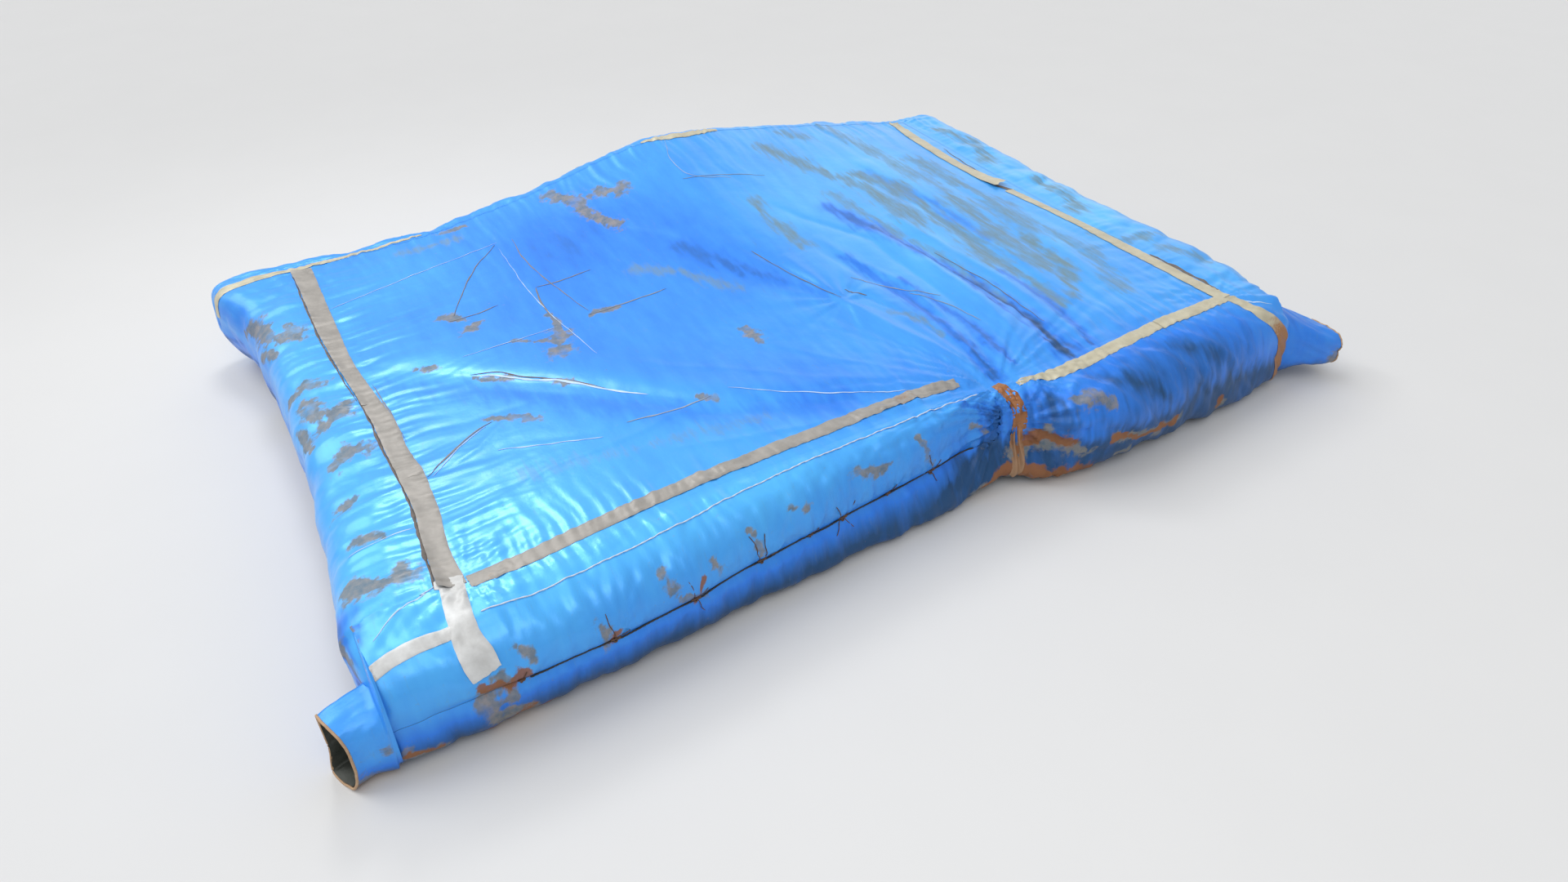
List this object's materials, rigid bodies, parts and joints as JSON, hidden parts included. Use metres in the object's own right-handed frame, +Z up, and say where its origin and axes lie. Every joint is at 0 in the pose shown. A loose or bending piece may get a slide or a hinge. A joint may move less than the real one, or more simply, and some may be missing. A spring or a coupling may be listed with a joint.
{
  "type": "soft landing mat",
  "caption": "Thick rectangular foam landing mat wrapped in glossy blue sheet, taped along its edges, with a laced and pinched front roll.",
  "frame": {"origin": "middle of the mat's underside, on the floor", "axes": "+X along the front edge to the right, +Y to the back, +Z up"},
  "size_m": [3.253, 2.053, 0.5002],
  "materials": {
    "sheet": "gloss",
    "tape": "satin",
    "stained_tape": "satin",
    "seam_cord": "matte",
    "string": "matte",
    "foam": "matte"
  },
  "bodies": {
    "root": {"foam_base_left": "foam", "foam_base_right": "foam", "foam_top_left": "foam", "foam_top_right": "foam", "crown_pad": "foam", "front_bolster_left": "foam", "front_bolster_right": "foam", "bottom_sheet": "sheet", "top_sheet": "sheet", "left_margin_sheet": "sheet", "right_margin_sheet": "sheet", "back_margin_sheet": "sheet", "front_upper_sheet": "sheet", "front_lower_sheet": "sheet", "front_right_sheet": "sheet", "front_left_ear": "sheet", "front_right_ear": "sheet", "left_tape_back": "tape", "left_tape_middle": "tape", "left_tape_front": "tape", "left_end_tape": "tape", "front_tape_left": "tape", "front_tape_right_inner": "tape", "front_tape_right_outer": "tape", "right_tape_back": "tape", "right_tape_front": "tape", "back_edge_tape": "tape", "crown_tape": "tape", "left_tape_down": "tape", "right_tape_down": "stained_tape", "cinch_band": "stained_tape", "seam_cord": "seam_cord", "seam_stitches": "seam_cord", "fold_string": "string"}
  },
  "joints": []
}
